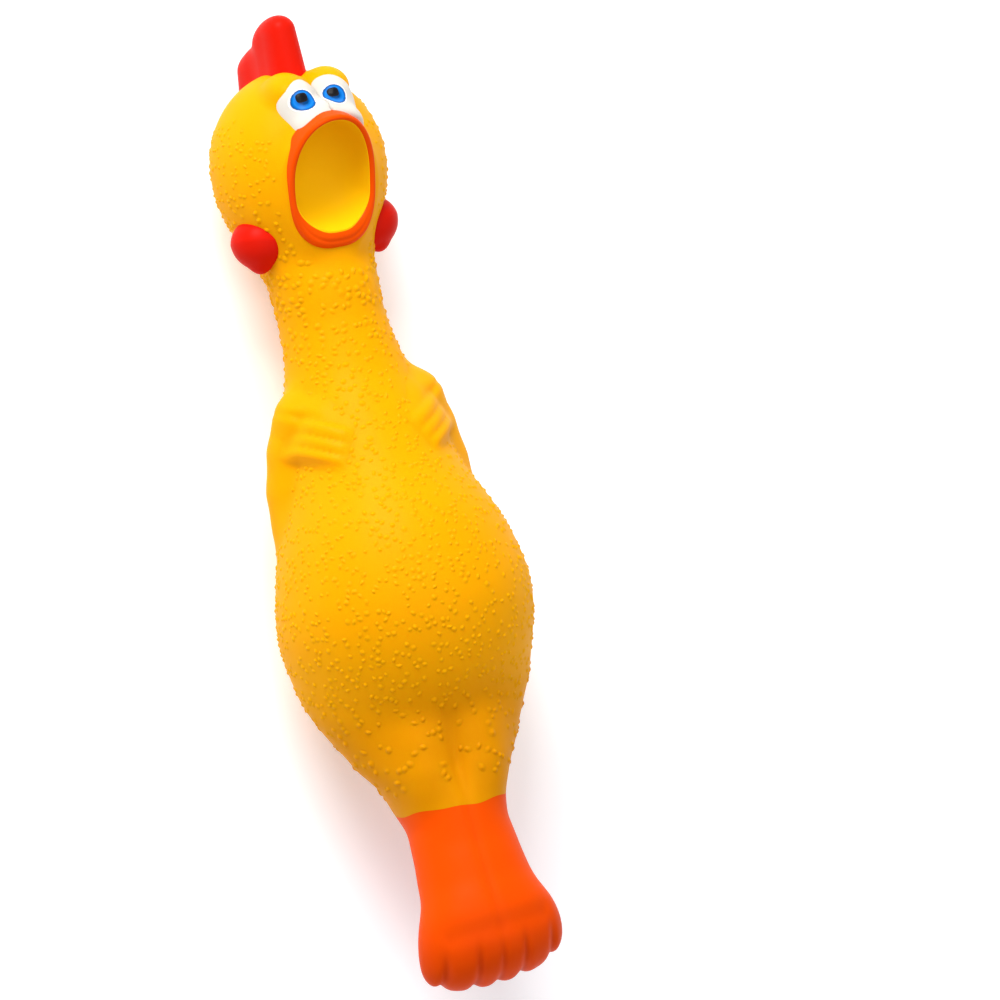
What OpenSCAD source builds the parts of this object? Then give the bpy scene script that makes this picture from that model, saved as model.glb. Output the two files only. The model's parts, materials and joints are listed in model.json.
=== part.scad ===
// Rubber chicken: a hollow soft-vinyl squeeze toy with a gaping beak, lying on its back.
// +Y runs from the toes to the comb, +X is the chicken's own left, +Z is the belly side.
// The origin is on the resting plane, under the middle of the overall length and width.

/* [Lengths along the body] */
// Orange legs and feet, from the toe tips to the yellow skin
leg_length = 42; // [36:1:50]
// Torso, from the legs to the foot of the neck
torso_length = 100; // [84:1:120]
// Neck, from the foot of the neck to the underside of the head
neck_length = 23; // [20:1:28]
// Head, from the underside to the crown
head_length = 50; // [46:1:58]
// Comb, above the crown
comb_height = 13; // [9:1:18]

/* [Skin sections] */
// Thickness of the moulded skin
wall = 2; // [1.4:0.1:2.6]
// Widest part of the belly
belly_width = 60; // [52:1:72]
// Height of the belly above the resting plane
belly_height = 55; // [50:1:66]
// Narrowest part of the neck, across
neck_width = 25; // [24:0.5:28]
// Widest part of the head, cheek to cheek
head_width = 40; // [36:0.5:46]
// Depth of the head, from its middle line to the nape and to the face
head_half_depth = 18.5; // [17:0.5:22]
// Narrowest part of the legs, across
ankle_width = 24; // [22:0.5:27]
// Thickness of the legs, front to back
ankle_depth = 19; // [18:0.5:22]
// Widest part of the fanned toes
toe_width = 34; // [28:1:40]
// Height of the middle line of the neck and head above the resting plane
axis_height = 19; // [18.5:0.5:26]
// Height of the middle line of the legs above the resting plane
leg_height = 32; // [28:0.5:35]
// How far the toes curl forward from the legs
toe_lift = 6; // [0:0.5:9]

/* [Bends] */
// Radius of the ball at the foot of the neck
neck_ball_r = 13.2; // [12.8:0.1:14]
// Radius of the ball under the head
head_ball_r = 12.6; // [12.4:0.1:13.2]
// Radius of the ball at the top of the legs
ankle_ball_r = 10; // [9.5:0.1:10.6]
// Gap between a ball and the cup that it turns in
ball_gap = 0.3; // [0.2:0.05:0.5]
// Turn of the head about the neck, towards the chicken's own left
head_twist = 8; // [-15:1:15]

/* [Face] */
// Width of the beak rim
beak_width = 22.4; // [20:0.2:25]
// Length of the beak rim, brow to chin, along its own plane
beak_length = 34; // [30:0.2:36]
// Width of the orange band of the beak rim
beak_band = 1.9; // [1.4:0.1:2.4]
// Height of the middle of the beak rim above the head's middle line
beak_stand = 20; // [18:0.5:23]
// Lean of the beak rim, brow forward
beak_lean = 22; // [15:1:24]
// Depth of the mouth cup below the rim
mouth_depth = 14; // [10:0.5:16]
// Wall of the mouth cup
mouth_wall = 1.6; // [1.2:0.1:2]
// Radius of an eyeball
eye_r = 6.5; // [5.5:0.1:7.2]
// Distance between the middles of the eyeballs
eye_pitch = 9.6; // [8.5:0.1:11]
// Radius of the blue iris
iris_r = 2.9; // [2.4:0.1:3.6]
// Radius of the black pupil
pupil_r = 1.1; // [0.8:0.1:1.6]
// Thickness of a paint disc of the eye
paint_t = 0.3; // [0.2:0.05:0.5]
// Radius of a wattle
wattle_r = 5.8; // [5:0.1:6.8]
// Thickness of the comb
comb_t = 8.4; // [6:0.2:10]

/* [Squeaker] */
// Distance of the squeaker from the legs
squeaker_from_legs = 42; // [38:1:50]
// Radius of the squeaker's tube
squeaker_r = 8.5; // [7.5:0.1:9]
// Radius of the squeaker's flange
flange_r = 10; // [9.6:0.1:11]
// Thickness of the flange
flange_t = 1.4; // [1:0.1:2]
// Length of the tube inside the skin
tube_length = 8.6; // [8:0.1:10]
// Wall of the tube
tube_wall = 1.2; // [1:0.1:1.6]
// Radius of the hole that the sound leaves by
sound_r = 2; // [1.6:0.1:2.2]
// Thickness of the reed
reed_t = 0.2; // [0.15:0.05:0.3]
// Width of the reed
reed_w = 4.4; // [4.2:0.1:4.8]
// Gap of a push fit between two mouldings
fit_gap = 0.1; // [0.05:0.01:0.15]

/* [Hidden] */

// Places along Y, from the toes up
y_toe = -(leg_length + torso_length + neck_length + head_length + comb_height) / 2;
y_leg = y_toe + leg_length;
y_neck = y_leg + torso_length;
y_head = y_neck + neck_length;
y_crown = y_head + head_length;
y_comb = y_crown + comb_height;

// Turning points of the three bends
neck_pivot = [0, y_neck + 5, axis_height];
head_pivot = [0, y_head + 2, axis_height];
ankle_pivot = [0, y_leg - 4, leg_height];

// Where the belly and the head are widest
belly_at = 0.43;
cheek_at = 0.56;
y_belly = y_leg + belly_at * torso_length;
y_cheek = y_head + cheek_at * head_length;

ring_points = 40;
steps_torso = 24;
steps_head = 14;
steps_legs = 10;

// How far a section has swollen, from 0 at an end to 1 at the widest place
function swell(u, p) = pow(sin(90 * max(0, min(1, u))), p);
function mix(a, b, k) = a + (b - a) * k;

// A section is [y, half width, lowest z, highest z]
root_half = neck_width / 2 + 1.7;
leg_half = ankle_width / 2 + 0.6;
sit_flat = -0.6; // the back dips this far below the resting plane before it is cut flat

function torso_section(y) =
    let (low = y < y_belly,
        u = low ? (y - y_leg) / (y_belly - y_leg) : (y_neck - y) / (y_neck - y_belly))
    [y,
        mix(low ? leg_half : root_half, belly_width / 2, swell(u, 1.1)),
        low ? mix(leg_height - 12, sit_flat, swell(u, 0.8))
            : mix(axis_height - 15.5, sit_flat, swell(u, 0.6)),
        low ? mix(leg_height + 11, belly_height, swell(u, 1.4))
            : mix(axis_height + 13.5, belly_height, swell(u, 1.3))];

function head_section(y) =
    let (low = y < y_cheek,
        u = low ? (y - y_head) / (y_cheek - y_head) : (y - y_cheek) / (y_crown - y_cheek),
        dome = low ? 1 : sqrt(max(0, 1 - pow(u, 2.3))),
        half = low ? mix(neck_width / 2 + 0.3, head_width / 2, swell(u, 1.4)) : head_width / 2 * dome,
        back = low ? mix(neck_width / 2, head_half_depth, swell(u, 1)) : head_half_depth * dome,
        face = low ? mix(neck_width / 2, head_half_depth, swell(u, 1.8)) : head_half_depth * dome)
    [y, half, axis_height - back, axis_height + face];

function leg_section(y) =
    let (u = (ankle_pivot.y - y) / (ankle_pivot.y - y_toe), fan = pow(min(1, u / 0.88), 1.7),
        tip = max(0, (u - 0.6) / 0.4), middle = leg_height + toe_lift * pow(u, 1.5),
        thick = (ankle_depth / 2 + 1.2 * sin(180 * min(1, u / 0.9))) * sqrt(1 - 0.85 * pow(tip, 2)))
    [y, mix(ankle_width, toe_width, fan) / 2 * (1 - 0.12 * pow(tip, 6)), middle - thick, middle + thick];

// A ring of points round a section, shrunk on all sides by inset and never below the plane at floor_z
function ring(s, inset, floor_z) =
    let (a = s[1] - inset, low = s[2] + inset, high = s[3] - inset, middle = mix(low, high, 0.48))
    [for (i = [0 : ring_points - 1])
        let (t = 360 * i / ring_points, c = cos(t), v = sin(t))
        [a * c, s[0], max(floor_z, v > 0 ? middle + (high - middle) * v : middle + (middle - low) * v)]];

// A closed solid through a list of rings, which run towards +Y
module loft(rings) {
    n = ring_points;
    last = len(rings) - 1;
    polyhedron(
        points = [for (r = rings) each r],
        faces = concat(
            [[for (i = [n - 1 : -1 : 0]) i]],
            [for (j = [0 : last - 1], i = [0 : n - 1])
                let (a = j * n + i, b = j * n + (i + 1) % n) each [[b, a + n, a], [b + n, a + n, b]]],
            [[for (i = [0 : n - 1]) last * n + i]]));
}

function span(from, to, steps) = [for (k = [0 : steps]) mix(from, to, k / steps)];

module torso_form(inset, from, to)
    loft([for (y = span(from, to, steps_torso)) ring(torso_section(y), inset, inset)]);

module head_form(inset, from, to)
    loft([for (y = span(from, to, steps_head)) ring(head_section(y), inset, 0)]);

module leg_form(inset, from, to)
    loft([for (y = span(from, to, steps_legs)) ring(leg_section(y), inset, 0)]);

module ball(centre, r) translate(centre) sphere(r = r, $fn = 64);

// The head and all on it are built straight and then turned about the neck
module turned_head() translate([0, 0, axis_height]) rotate([0, head_twist, 0])
    translate([0, 0, -axis_height]) children();

// Ends of the rigid skins, where a cup lets the next ball turn
y_torso_top = neck_pivot.y - (neck_ball_r + ball_gap) * cos(70);
y_head_bottom = head_pivot.y + (head_ball_r + ball_gap) * cos(72);

squeaker_y = y_leg + squeaker_from_legs;
flange_z = 2;
tube_top = flange_z + flange_t + tube_length;
boss_r = squeaker_r + fit_gap + 3;

module at_squeaker(z) translate([0, squeaker_y, z]) children();

module torso_skin() color("gold") difference() {
    torso_form(0, y_leg, y_torso_top);
    difference() {
        torso_form(wall, ankle_pivot.y + ankle_ball_r + ball_gap + wall,
            neck_pivot.y - neck_ball_r - ball_gap - wall);
        at_squeaker(0) cylinder(r = boss_r, h = flange_z + flange_t + 4, $fn = 64);
    }
    ball(neck_pivot, neck_ball_r + ball_gap);
    ball(ankle_pivot, ankle_ball_r + ball_gap);
    at_squeaker(-1) cylinder(r = squeaker_r + fit_gap, h = 20, $fn = 64);
    at_squeaker(-1) cylinder(r = flange_r + fit_gap, h = 1 + flange_z + flange_t, $fn = 64);
}

// A wing is an arm down the flank with a hand laid on the chest
wing_shoulder = [14, y_neck - 6, axis_height + 7];
wing_elbow = [20.5, y_neck - 32, axis_height + 6];
wing_wrist = [17, y_neck - 20, axis_height + 11];
wing_hand = [9, y_neck - 11, axis_height + 14];

module wing(side) color("gold") difference() {
    scale([side, 1, 1]) {
        hull() {
            translate(wing_shoulder) sphere(r = 5.5, $fn = 24);
            translate(wing_elbow) sphere(r = 6, $fn = 24);
        }
        hull() {
            translate(wing_wrist) sphere(r = 6, $fn = 24);
            translate(wing_hand) sphere(r = 4.5, $fn = 24);
        }
    }
    torso_form(0, y_leg, y_torso_top);
    translate([0, y_torso_top + 20, axis_height]) cube([80, 40, 80], center = true);
    ball(neck_pivot, neck_ball_r + ball_gap);
}

// The neck is round, with a ball at each end
neck_r = neck_width / 2 - 0.7;

module neck_skin() color("gold") translate([0, 0, axis_height]) rotate([-90, 0, 0]) difference() {
    union() {
        translate([0, 0, neck_pivot.y]) sphere(r = neck_ball_r, $fn = 64);
        translate([0, 0, head_pivot.y]) sphere(r = head_ball_r, $fn = 64);
        translate([0, 0, neck_pivot.y]) cylinder(r = neck_r, h = head_pivot.y - neck_pivot.y, $fn = 64);
    }
    translate([0, 0, neck_pivot.y - 30]) cylinder(r = neck_r - wall, h = 90, $fn = 64);
}

// The mouth: an oval hole through the face, the rim that lines it and the cup inside the rim.
// Their own Z is 0 at the front edge of the rim and points out of the mouth.
mouth_centre = [0, y_cheek - 4.4, axis_height + beak_stand];
rim_depth = 7;

module at_mouth() translate(mouth_centre) rotate([beak_lean, 0, 0]) children();

module oval(width, length) polygon([for (i = [0 : 47]) [width / 2 * cos(7.5 * i), length / 2 * sin(7.5 * i)]]);

module mouth_prism(width, length, from, to)
    at_mouth() translate([0, 0, from]) linear_extrude(to - from) oval(width, length);

eye_y = y_crown - 6.6;
eye_z = axis_height + head_half_depth - 6.5;
function eye_centre(side) = [side * eye_pitch / 2, eye_y, eye_z];

module head_skin() color("gold") turned_head() difference() {
    head_form(0, y_head_bottom, y_crown - 0.4);
    head_form(wall, head_pivot.y + head_ball_r + ball_gap + wall, y_crown - wall);
    ball(head_pivot, head_ball_r + ball_gap);
    mouth_prism(beak_width + 2 * fit_gap, beak_length + 2 * fit_gap, -2 * rim_depth, 20);
    for (side = [-1, 1]) ball(eye_centre(side), eye_r + fit_gap);
}

module beak_rim() color("orangered") turned_head() difference() {
    mouth_prism(beak_width, beak_length, -rim_depth, 0);
    mouth_prism(beak_width - 2 * beak_band, beak_length - 2 * beak_band, -rim_depth - 1, 1);
    ball(head_pivot, head_ball_r + ball_gap);
}

// The cup is a bowl of stacked ovals, open at the rim
cup_width = beak_width - 2 * beak_band - 2 * fit_gap;
cup_length = beak_length - 2 * beak_band - 2 * fit_gap;
cup_lip = 0.8; // the cup starts this far below the rim's edge
steps_cup = 8;

// The ovals are stacked along Y here, deepest first, and bowl() turns them to face out of the mouth
function cup_ring(u, inset, depth) =
    let (k = sqrt(1 - pow(u, 2.4)))
    [for (i = [0 : ring_points - 1])
        let (t = 360 * i / ring_points)
        [(cup_width / 2 - inset) * k * cos(t), -depth * u, (cup_length / 2 - inset) * k * sin(t)]];

module bowl(inset, depth, raise)
    at_mouth() translate([0, 0, raise - cup_lip]) rotate([90, 0, 0])
        loft([for (u = span(0.97, 0, steps_cup)) cup_ring(u, inset, depth)]);

module mouth_cup() color("goldenrod") turned_head() difference() {
    bowl(0, mouth_depth, 0);
    bowl(mouth_wall, mouth_depth - mouth_wall, 0.01);
}

module eye_white(side) color("white") turned_head() difference() {
    ball(eye_centre(side), eye_r);
    translate([-side * (20 - fit_gap / 2), eye_y, eye_z]) cube([40, 40, 40], center = true);
    translate([0, eye_y, eye_z - 26]) cube([60, 60, 50], center = true);
    mouth_prism(beak_width + 2 * fit_gap, beak_length + 2 * fit_gap, -rim_depth - fit_gap, 20);
    bowl(-fit_gap, mouth_depth + fit_gap, 0);
}

// Paint discs follow the eyeball, like thin contact lenses, and look a little up and inwards
eye_lift = 8;

module eye_disc(side, r, from, to) turned_head() translate(eye_centre(side))
    rotate([-eye_lift, -4 * side, 0]) intersection() {
        difference() {
            sphere(r = eye_r + to, $fn = 64);
            sphere(r = eye_r + from, $fn = 64);
        }
        cylinder(r = r, h = 2 * eye_r, $fn = 48);
    }

module iris(side) color("royalblue") eye_disc(side, iris_r, 0, paint_t);

module pupil(side) color("black") eye_disc(side, pupil_r, paint_t, 2 * paint_t);

// The comb is a fin in the middle plane that leans towards the face
comb_back = [y_crown - 7, axis_height - 13];
comb_front = [y_crown - 5, axis_height + 3];
comb_lobe = [y_comb - 9, axis_height - 8];
comb_tip_r = comb_t / 2 - 0.8;

module comb() color("red") turned_head() difference() {
    hull() {
        for (p = [comb_back, comb_front]) translate([0, p[0], p[1]]) sphere(r = comb_t / 2, $fn = 32);
        translate([0, comb_lobe[0], comb_lobe[1]]) sphere(r = comb_tip_r, $fn = 32);
        translate([0, y_comb - comb_tip_r, axis_height + 5]) sphere(r = comb_tip_r, $fn = 32);
    }
    head_form(0, y_head_bottom, y_crown - 0.4);
}

wattle_centre = [head_width / 2 - 5, y_cheek - 16.4, axis_height + 3];

module wattle(side) color("red") turned_head() difference() {
    ball([side * wattle_centre.x, wattle_centre.y, wattle_centre.z], wattle_r);
    head_form(0, y_head_bottom, y_crown - 0.4);
}

module leg_skin() color("orangered") difference() {
    union() {
        ball(ankle_pivot, ankle_ball_r);
        leg_form(0, y_toe, ankle_pivot.y - 3);
    }
    leg_form(wall, y_toe + 12, ankle_pivot.y - 4);
}

// Squeaker: a flanged cup pushed into the back, with a reed clamped on a slotted block inside
block_r = 3.6;
block_top = flange_z + flange_t + 6.4;
clamp_h = 1.6;
clamp_z = block_top - clamp_h;
seat_x = 1.2;
relief_x = 0.8;
reed_slack = 0.05; // play of the reed on each side in its clamp
reed_x = seat_x + reed_slack;
block_bore_r = sound_r - 0.3;

module squeaker_cup() color("whitesmoke") difference() {
    union() {
        at_squeaker(flange_z) cylinder(r = flange_r, h = flange_t, $fn = 64);
        at_squeaker(flange_z) cylinder(r = squeaker_r, h = flange_t + tube_length, $fn = 64);
    }
    at_squeaker(flange_z + flange_t) cylinder(r = squeaker_r - tube_wall, h = tube_length + 1, $fn = 64);
    at_squeaker(flange_z - 1) cylinder(r = sound_r, h = flange_t + 2, $fn = 48);
}

module squeaker_cap() color("whitesmoke") difference() {
    union() {
        at_squeaker(tube_top) cylinder(r = squeaker_r, h = 1.2, $fn = 64);
        at_squeaker(tube_top - 1.4) cylinder(r = squeaker_r - tube_wall - fit_gap / 2, h = 1.6, $fn = 64);
    }
    for (a = [0 : 120 : 240])
        at_squeaker(tube_top - 2) rotate([0, 0, a]) translate([4.4, 0, 0]) cylinder(r = 0.9, h = 4, $fn = 32);
}

module reed_block() color("ivory") difference() {
    at_squeaker(flange_z + flange_t) cylinder(r = block_r, h = block_top - flange_z - flange_t, $fn = 64);
    at_squeaker(flange_z) cylinder(r = block_bore_r, h = clamp_z - flange_z - 0.6, $fn = 48);
    at_squeaker(flange_z) translate([seat_x, -10, 0]) cube([20, 20, 20]);
    at_squeaker(flange_z) translate([relief_x, -10, 0]) cube([20, 20, clamp_z - flange_z - 0.3]);
}

module reed_collar() color("ivory") difference() {
    at_squeaker(clamp_z) cylinder(r = block_r + 1.2, h = clamp_h, $fn = 64);
    difference() {
        at_squeaker(clamp_z - 1) cylinder(r = block_r + fit_gap / 2, h = clamp_h + 2, $fn = 64);
        at_squeaker(clamp_z - 2) translate([reed_x + reed_t + reed_slack, -10, 0]) cube([20, 20, 20]);
    }
}

module reed() color("goldenrod")
    at_squeaker(flange_z + flange_t + 0.6) translate([reed_x, -reed_w / 2, 0])
        cube([reed_t, reed_w, block_top - flange_z - flange_t - 0.6]);

torso_skin();
wing(-1);  // wing_right
wing(1);  // wing_left
neck_skin();
head_skin();
comb();
wattle(-1);  // wattle_right
wattle(1);  // wattle_left
beak_rim();
mouth_cup();
eye_white(-1);  // eye_white_right
eye_white(1);  // eye_white_left
iris(-1);  // iris_right
iris(1);  // iris_left
pupil(-1);  // pupil_right
pupil(1);  // pupil_left
leg_skin();
squeaker_cup();
squeaker_cap();
reed_block();
reed_collar();
reed();
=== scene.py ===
"""Rubber chicken in soft vinyl: skin, comb, wattles, beak, eyes, feet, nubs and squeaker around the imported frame.

Shapes are worked out in millimetres on a pattern that has the frame's own places: +Y to the comb, +Z out of the
belly and the origin on the resting plane. Each soft form is a distance field, and a mesh is cast from rays that
run from the form's middle line out to the field's surface.
"""

import json
import math

import bpy
import numpy as np
from bpy.props import FloatProperty, FloatVectorProperty, IntProperty, PointerProperty
from mathutils import Matrix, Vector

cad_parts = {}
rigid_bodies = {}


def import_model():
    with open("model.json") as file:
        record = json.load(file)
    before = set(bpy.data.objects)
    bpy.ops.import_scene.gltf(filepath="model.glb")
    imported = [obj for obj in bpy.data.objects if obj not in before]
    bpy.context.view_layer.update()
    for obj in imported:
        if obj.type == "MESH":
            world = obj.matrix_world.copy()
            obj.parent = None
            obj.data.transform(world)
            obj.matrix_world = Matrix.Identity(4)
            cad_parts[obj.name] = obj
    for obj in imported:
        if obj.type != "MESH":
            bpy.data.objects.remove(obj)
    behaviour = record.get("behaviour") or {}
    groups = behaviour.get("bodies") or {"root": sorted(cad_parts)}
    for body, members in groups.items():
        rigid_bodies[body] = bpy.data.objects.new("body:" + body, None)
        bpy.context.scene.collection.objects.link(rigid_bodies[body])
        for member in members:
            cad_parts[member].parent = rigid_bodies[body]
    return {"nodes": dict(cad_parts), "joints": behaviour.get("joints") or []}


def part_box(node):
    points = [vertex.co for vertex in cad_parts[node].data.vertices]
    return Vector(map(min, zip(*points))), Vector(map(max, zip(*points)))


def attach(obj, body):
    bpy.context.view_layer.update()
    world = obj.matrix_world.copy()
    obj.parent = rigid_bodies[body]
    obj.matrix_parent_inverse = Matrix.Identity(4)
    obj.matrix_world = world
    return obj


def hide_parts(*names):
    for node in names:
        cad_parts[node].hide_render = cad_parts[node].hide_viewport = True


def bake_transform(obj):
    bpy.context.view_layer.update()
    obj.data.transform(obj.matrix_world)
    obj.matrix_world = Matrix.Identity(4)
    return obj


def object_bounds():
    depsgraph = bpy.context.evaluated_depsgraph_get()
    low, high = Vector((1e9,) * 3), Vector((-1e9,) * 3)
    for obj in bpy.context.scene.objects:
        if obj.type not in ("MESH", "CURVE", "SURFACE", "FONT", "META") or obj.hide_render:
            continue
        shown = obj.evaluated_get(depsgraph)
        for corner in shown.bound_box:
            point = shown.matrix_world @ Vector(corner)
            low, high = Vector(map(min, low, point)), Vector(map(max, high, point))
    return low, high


bl_info = {
    "name": "Rubber Chicken",
    "version": (1, 0, 0),
    "blender": (4, 5, 0),
    "location": "View3D > Sidebar > Rubber Chicken",
    "description": "Builds a soft-vinyl rubber chicken around its frame",
    "category": "Object",
}

for leftover in list(bpy.data.objects):
    bpy.data.objects.remove(leftover)
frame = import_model()
CAD_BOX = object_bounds()

MM = 0.001


# ---------------- places taken from the frame


def node_box(node):
    """Lowest and highest corner of a frame node, in millimetres."""
    low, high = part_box(node)
    return np.array(low) / MM, np.array(high) / MM


def pivot(name):
    """Turning point of a joint, in millimetres."""
    found = next(j for j in frame["joints"] if j["name"] == name)
    return np.array(found["pos_m"]) / MM


NECK_PIVOT = pivot("neck_bend")
HEAD_PIVOT = pivot("head_tilt")
LEG_PIVOT = pivot("leg_bend")
AXIS = NECK_PIVOT[2]
LEG_TOP = node_box("torso_skin")[0][1]
TOES = node_box("leg_skin")[0][1]
COMB_TIP = node_box("comb")[1][1]
BELLY_TOP = node_box("torso_skin")[1][2]
SEAM = (NECK_PIVOT[1] + HEAD_PIVOT[1]) / 2
CROWN = node_box("head_skin")[1][1] + 0.4
SQUEAKER_LOW, SQUEAKER_HIGH = node_box("squeaker_cup")
HEAD_TWIST = 8.0  # degrees that the head turns to its left
HEAD_SHIFT = 0.4
EYE_SHIFT = 1.0  # the whites meet this far to the left of the beak's middle
TOE_SLANT = 0.055  # how much further the left toes stand back, for each mm to the side
SIDES = ((-1, "right"), (1, "left"))


# ---------------- settings a user would change


class ChickenSkinSettings(bpy.types.PropertyGroup):
    """Sizes of the skin's mesh and of its nubs."""

    around: IntProperty(name="Points around", description="Points in each ring of the skin", default=288, min=96)
    step: FloatProperty(
        name="Ring step", description="Distance between rings", default=0.0006, unit="LENGTH", subtype="DISTANCE"
    )
    nub_width: FloatProperty(
        name="Nub width", description="Width of a large nub", default=0.00192, unit="LENGTH", subtype="DISTANCE"
    )
    nub_height: FloatProperty(
        name="Nub height", description="Height of a nub", default=0.00043, unit="LENGTH", subtype="DISTANCE"
    )
    nub_gap: FloatProperty(
        name="Nub gap", description="Least distance between nubs", default=0.00112, unit="LENGTH", subtype="DISTANCE"
    )
    nub_count: FloatProperty(name="Nub density", description="Nubs on a square metre of skin", default=260000.0)
    seed: IntProperty(name="Seed", description="Seed of the nubs' places", default=7)


class ChickenColourSettings(bpy.types.PropertyGroup):
    """Colours of the vinyl and the paint, as linear values."""

    yellow: FloatVectorProperty(
        name="Yellow", description="Skin", subtype="COLOR", size=3, min=0, max=1, default=(0.92, 0.385, 0.0)
    )
    # Deep yellow is painted shade in creases and towards the legs, and the tone of random patches
    yellow_deep: FloatVectorProperty(
        name="Deep yellow", description="Hollows of the skin", subtype="COLOR", size=3, default=(0.72, 0.265, 0.0)
    )
    mouth: FloatVectorProperty(
        name="Mouth", description="Inside of the beak", subtype="COLOR", size=3, default=(1.0, 0.62, 0.004)
    )
    # Deep mouth is painted shade on the bowl's upper wall, and the tone of random patches
    mouth_deep: FloatVectorProperty(
        name="Deep mouth", description="Shaded top of the mouth", subtype="COLOR", size=3, default=(0.88, 0.43, 0.0)
    )
    orange: FloatVectorProperty(
        name="Orange", description="Legs and beak", subtype="COLOR", size=3, default=(0.88, 0.080, 0.0)
    )
    # Deep orange is painted shade in creases and towards the toes, and the tone of random patches
    orange_deep: FloatVectorProperty(
        name="Deep orange", description="Hollows of the legs", subtype="COLOR", size=3, default=(0.55, 0.035, 0.0)
    )
    red: FloatVectorProperty(
        name="Red", description="Comb and wattles", subtype="COLOR", size=3, default=(0.68, 0.011, 0.003)
    )
    red_deep: FloatVectorProperty(
        name="Deep red", description="Hollows of the comb", subtype="COLOR", size=3, default=(0.45, 0.004, 0.002)
    )
    white: FloatVectorProperty(
        name="Eye white", description="Whites of the eyes", subtype="COLOR", size=3, default=(0.66, 0.62, 0.56)
    )
    iris: FloatVectorProperty(
        name="Iris", description="Blue of the eyes", subtype="COLOR", size=3, default=(0.0, 0.13, 0.50)
    )
    pupil: FloatVectorProperty(
        name="Pupil", description="Black of the eyes", subtype="COLOR", size=3, default=(0.008, 0.008, 0.010)
    )


class ChickenFaceSettings(bpy.types.PropertyGroup):
    """Sizes of the beak and the eyes."""

    beak_width: FloatProperty(
        name="Beak width", description="Width of the orange lip", default=0.0222, unit="LENGTH", subtype="DISTANCE"
    )
    beak_length: FloatProperty(
        name="Beak length", description="Length of the orange lip", default=0.0318, unit="LENGTH", subtype="DISTANCE"
    )
    iris_width: FloatProperty(
        name="Iris width", description="Width of an iris", default=0.0060, unit="LENGTH", subtype="DISTANCE"
    )
    pupil_width: FloatProperty(
        name="Pupil width", description="Width of a pupil", default=0.0027, unit="LENGTH", subtype="DISTANCE"
    )


# ---------------- distance fields


def point(x, y, z):
    return np.array([x, y, z], float)


def ramp(value, start, end):
    """0 up to start, 1 past end, and smooth between them. An end below its start makes it fall as value grows."""
    t = np.clip((value - start) / (end - start), 0, 1)
    return t * t * (3 - 2 * t)


def hump(value, middle, width):
    """1 at the middle, falling smoothly to 0 over a few widths."""
    return np.exp(-(((value - middle) / width) ** 2))


def union(a, b, blend):
    """Joins two fields, with a fillet about as wide as blend."""
    near = np.maximum(blend - np.abs(a - b), 0) / blend
    return np.minimum(a, b) - near * near * blend / 4


def cut(a, b, blend):
    """Takes field b out of field a, with a rounded edge."""
    return -union(-a, b, blend)


def leant(p, degrees):
    """Points in a frame that leans about X, from +Y towards +Z."""
    c, s = math.cos(math.radians(degrees)), math.sin(math.radians(degrees))
    return np.stack([p[..., 0], p[..., 1] * c + p[..., 2] * s, p[..., 2] * c - p[..., 1] * s], -1)


def folded(p, fold=0.0):
    """Points brought over to one side of a fold, so that one side's shape serves both."""
    return np.stack([np.abs(p[:, 0] - fold), p[:, 1], p[:, 2]], 1)


def ellipsoid(p, centre, radii, lean=0.0):
    """An ellipsoid that leans about X."""
    q = leant(p - centre, lean)
    near = np.linalg.norm(q / radii, axis=1)
    steep = np.linalg.norm(q / np.square(radii), axis=1)
    return near * (near - 1) / np.maximum(steep, 1e-6)


def capsule(p, start, end, r_start, r_end):
    """A round bar whose radius changes from one end to the other."""
    along = end - start
    t = np.clip((p - start) @ along / (along @ along), 0, 1)
    return np.linalg.norm(p - start - t[:, None] * along, axis=1) - (r_start + (r_end - r_start) * t)


def bars(p, parts, blend):
    """Round bars that run into each other. Each part is a start, an end and the radius at either."""
    d = None
    for part in parts:
        bar = capsule(p, *part)
        d = bar if d is None else union(d, bar, blend)
    return d


def flow(stations, column, y):
    """Smooth curve through one column of a list of stations, whose first column is the place along Y."""
    table = np.array(stations, float)
    place, value = table[:, 0], table[:, column]
    slope = np.gradient(value, place)
    i = np.clip(np.searchsorted(place, y) - 1, 0, len(place) - 2)
    span = place[i + 1] - place[i]
    t = np.clip((y - place[i]) / span, 0, 1)
    a = (1 + 2 * t) * (1 - t) ** 2
    b = t * (1 - t) ** 2
    c = t * t * (3 - 2 * t)
    d = t * t * (t - 1)
    return a * value[i] + b * span * slope[i] + c * value[i + 1] + d * span * slope[i + 1]


# Stations of the trunk: distance above the legs, half width, lowest and highest z
TRUNK = [
    (-38, 16.0, 30.0, 44.6),
    (-30.5, 16.0, 29.5, 47.6),
    (-26, 15.1, 29.0, 48.2),
    (-21, 13.8, 27.9, 47.4),
    (-16.5, 13.2, 26.3, 46.0),
    (-12, 12.6, 25.0, 44.9),
    (-7.5, 12.15, 23.8, 43.7),
    (-3, 11.2, 23.6, 43.3),
    (1.8, 11.2, 22.6, 43.0),
    (6.4, 14.1, 19.6, 42.6),
    (11, 18.4, 15.0, 42.3),
    (15.6, 20.9, 12.2, 42.8),
    (20.2, 23.4, 9.2, 43.4),
    (24.8, 25.7, 7.0, 44.6),
    (31, 27.8, 3.4, 46.8),
    (37, 28.5, 1.0, 48.8),
    (43, 28.2, -1.0, 50.3),
    (54, 25.0, -0.6, 51.2),
    (66, 23.3, -0.6, 49.6),
    (76, 21.4, -0.2, 45.6),
    (86, 19.1, 1.6, 41.4),
    (94, 16.8, 4.0, 38.0),
    (101, 14.7, 6.2, 34.8),
    (108, 13.1, 7.3, 32.9),
    (115, 12.45, 7.0, 31.7),
    (122, 12.6, 7.4, 31.6),
    (129, 13.7, 6.4, 30.8),
    (136, 15.7, 4.0, 32.0),
    (143, 17.2, 1.6, 34.6),
    (150, 18.0, 0.8, 36.4),
]
TRUNK = [(LEG_TOP + place, *rest) for place, *rest in TRUNK]
TRUNK_END = TRUNK[-1][0]


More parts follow.
